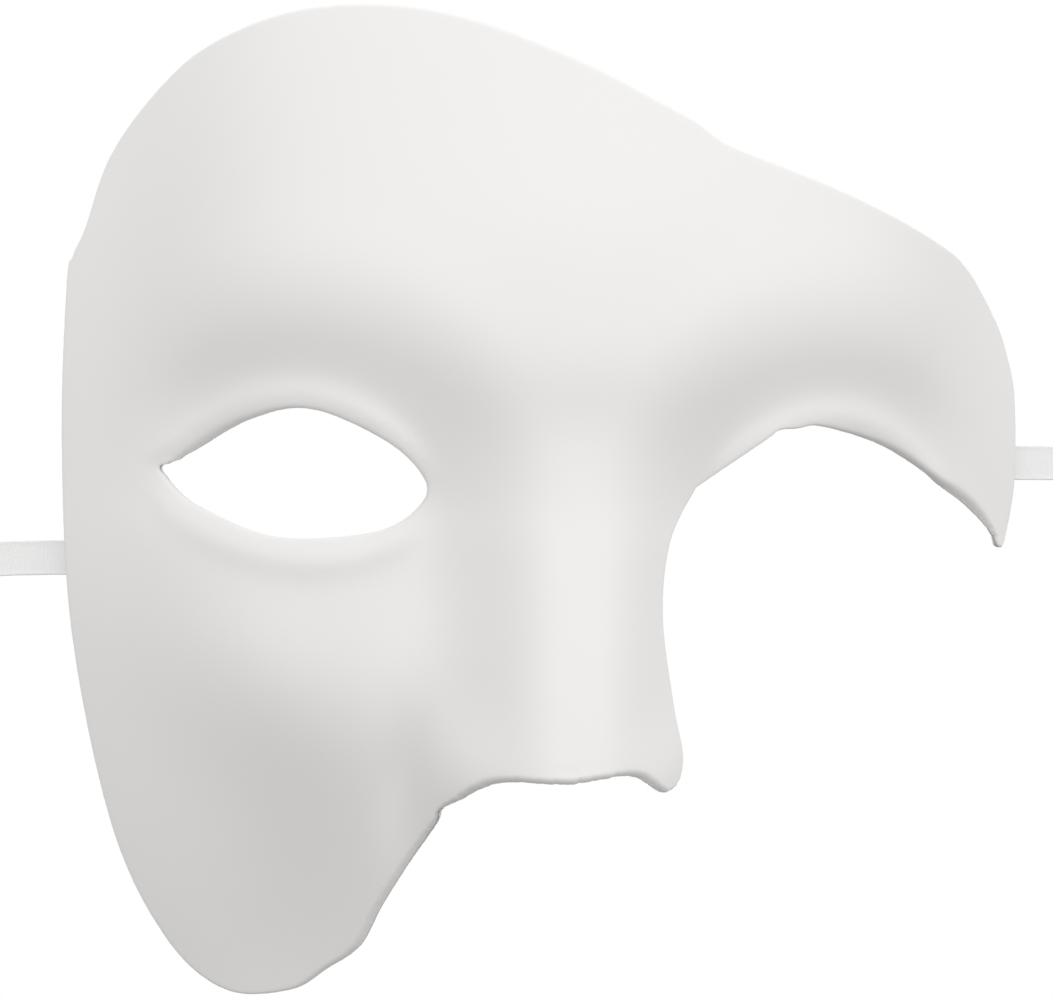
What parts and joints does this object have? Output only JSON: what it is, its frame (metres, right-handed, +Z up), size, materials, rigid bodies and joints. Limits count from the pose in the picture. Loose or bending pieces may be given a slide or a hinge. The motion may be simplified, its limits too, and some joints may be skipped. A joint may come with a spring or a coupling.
{
  "type": "half-face masquerade mask",
  "caption": "Plain moulded half-face masquerade mask covering the forehead, nose and one eye and cheek, with a ribbon tie glued inside each side.",
  "frame": {"origin": "where the bridge of the wearer's nose sits, on the mask's middle plane at eye height, about 5 mm behind the outer face", "axes": "+Z up as worn; the face looks along -Y, so +Y points back into the wearer's face; +X is the wearer's left"},
  "size_m": [0.261, 0.0814, 0.3914],
  "materials": {
    "shell": "smooth off-white satin-matt moulded plastic",
    "ribbon": "white single-face satin ribbon",
    "glue": "milky hot-melt glue",
    "patch": "white woven cotton cloth"
  },
  "bodies": {
    "root": {"mask_shell": "shell", "ribbon_right": "ribbon", "ribbon_left": "ribbon", "glue_right": "glue", "glue_left": "glue", "patch_right": "patch", "patch_left": "patch"}
  },
  "joints": []
}
